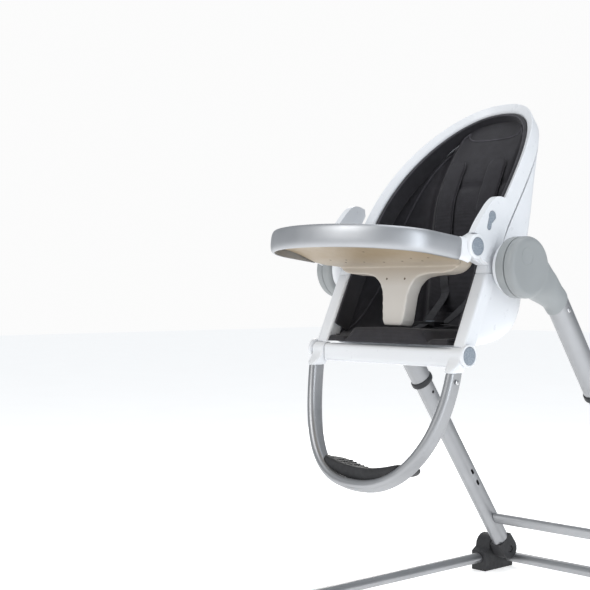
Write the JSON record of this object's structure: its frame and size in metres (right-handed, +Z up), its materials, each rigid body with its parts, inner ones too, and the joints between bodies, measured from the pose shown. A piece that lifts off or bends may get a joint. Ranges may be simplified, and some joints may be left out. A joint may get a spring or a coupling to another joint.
{
  "type": "baby high chair",
  "caption": "Baby high chair with an egg-shaped seat shell, padded liner and harness, lift-up tray, swinging footrest loop and telescopic slanted legs on a floor base.",
  "frame": {"origin": "centre of the footprint on the floor, under the middle of the bounding box", "axes": "+Z up; -Y the way the child faces; +X the child's left, square to the plane of symmetry"},
  "size_m": [0.59, 0.94, 1.0666],
  "materials": {
    "white_plastic": "smooth semi-gloss moulded white plastic",
    "grey_plastic": "fine-grained warm grey plastic",
    "button_grey": "speckled blue-grey plastic",
    "silver_tube": "satin silver",
    "steel": "plain steel",
    "black_plastic": "black plastic",
    "charcoal_plastic": "dark grey textured plastic",
    "fabric": "woven charcoal cloth over foam",
    "webbing": "flat woven webbing"
  },
  "bodies": {
    "base": {"base_rail_left": "silver_tube", "base_rail_right": "silver_tube", "front_foot_left": "charcoal_plastic", "front_foot_right": "charcoal_plastic", "rear_knuckle_left": "charcoal_plastic", "rear_knuckle_right": "charcoal_plastic", "base_cross_tube": "silver_tube"},
    "legs": {"lower_leg_left": "silver_tube", "lower_leg_right": "silver_tube", "leg_lug_left": "charcoal_plastic", "leg_lug_right": "charcoal_plastic", "leg_brace": "silver_tube"},
    "carriage": {"upper_leg_left": "silver_tube", "upper_leg_right": "silver_tube", "leg_collar_left": "black_plastic", "leg_collar_right": "black_plastic", "hub_cover_left": "grey_plastic", "hub_cover_right": "grey_plastic", "leg_screw_left": "steel", "leg_screw_right": "steel"},
    "hub": {"hub_disc_left": "grey_plastic", "hub_disc_right": "grey_plastic"},
    "seat": {"seat_rim": "white_plastic", "seat_shell": "white_plastic", "seat_front_lip": "white_plastic", "liner_back": "fabric", "liner_seat": "fabric", "crotch_strap": "webbing", "buckle": "black_plastic", "side_tube_left": "white_plastic", "side_tube_right": "white_plastic", "side_wing_left": "white_plastic", "side_wing_right": "white_plastic", "hub_boss_left": "white_plastic", "hub_boss_right": "white_plastic", "liner_side_left": "fabric", "liner_side_right": "fabric", "shoulder_harness_left": "fabric", "shoulder_harness_right": "fabric", "waist_strap_left": "webbing", "waist_strap_right": "webbing"},
    "tray": {"tray_rim": "silver_tube", "tray_dish": "white_plastic", "tray_crotch_post": "white_plastic", "tray_end_cap_left": "white_plastic", "tray_end_cap_right": "white_plastic"},
    "footrest": {"footrest_loop": "silver_tube", "footrest_plate": "charcoal_plastic", "footrest_fitting_left": "white_plastic", "footrest_fitting_right": "white_plastic", "footrest_screw_left": "steel", "footrest_screw_right": "steel"},
    "buckle_release": {"buckle_button": "button_grey"},
    "wing_release_left": {"wing_button_left": "button_grey"},
    "tray_release_left": {"tray_button_left": "button_grey"},
    "footrest_release_left": {"footrest_button_left": "button_grey"},
    "wing_release_right": {"wing_button_right": "button_grey"},
    "tray_release_right": {"tray_button_right": "button_grey"},
    "footrest_release_right": {"footrest_button_right": "button_grey"}
  },
  "joints": [
    {"name": "legs_fold", "type": "hinge", "parent": "base", "child": "legs", "pos_m": [0, 0.4087, 0.055], "axis": [1, 0, 0], "range_deg": [0, 35]},
    {"name": "height_slide", "type": "slide", "parent": "legs", "child": "carriage", "axis": [0, -0.5807, 0.8141], "range_m": [-0.105, 0.035]},
    {"name": "hub_fold", "type": "hinge", "parent": "carriage", "child": "hub", "pos_m": [0, -0.135, 0.7175], "axis": [1, 0, 0], "range_deg": [-98, 0]},
    {"name": "recline", "type": "hinge", "parent": "hub", "child": "seat", "pos_m": [0, -0.135, 0.7175], "axis": [1, 0, 0], "range_deg": [-20, 0]},
    {"name": "tray_lift", "type": "hinge", "parent": "seat", "child": "tray", "pos_m": [0, -0.22, 0.755], "axis": [1, 0, 0], "range_deg": [-32, 0]},
    {"name": "footrest_swing", "type": "hinge", "parent": "seat", "child": "footrest", "pos_m": [0, -0.243, 0.557], "axis": [1, 0, 0], "range_deg": [-45, 15]},
    {"name": "tray_button_press_left", "type": "slide", "parent": "tray", "child": "tray_release_left", "axis": [-1, 0, 0], "range_m": [0, 0.0025], "stiffness_N_per_m": 300, "springref_m": -0.001},
    {"name": "footrest_button_press_left", "type": "slide", "parent": "footrest", "child": "footrest_release_left", "axis": [-1, 0, 0], "range_m": [0, 0.0025], "stiffness_N_per_m": 300, "springref_m": -0.001},
    {"name": "wing_button_press_left", "type": "slide", "parent": "seat", "child": "wing_release_left", "axis": [-1, 0, 0], "range_m": [0, 0.002], "stiffness_N_per_m": 300, "springref_m": -0.001},
    {"name": "tray_button_press_right", "type": "slide", "parent": "tray", "child": "tray_release_right", "axis": [1, 0, 0], "range_m": [0, 0.0025], "stiffness_N_per_m": 300, "springref_m": -0.001},
    {"name": "footrest_button_press_right", "type": "slide", "parent": "footrest", "child": "footrest_release_right", "axis": [1, 0, 0], "range_m": [0, 0.0025], "stiffness_N_per_m": 300, "springref_m": -0.001},
    {"name": "wing_button_press_right", "type": "slide", "parent": "seat", "child": "wing_release_right", "axis": [1, 0, 0], "range_m": [0, 0.002], "stiffness_N_per_m": 300, "springref_m": -0.001},
    {"name": "buckle_button_press", "type": "slide", "parent": "seat", "child": "buckle_release", "axis": [0, 0, -1], "range_m": [0, 0.002], "stiffness_N_per_m": 300, "springref_m": -0.001}
  ],
  "couplings": [
    {"joint": "hub_fold", "follows": "legs_fold", "ratio": -2.8}
  ]
}
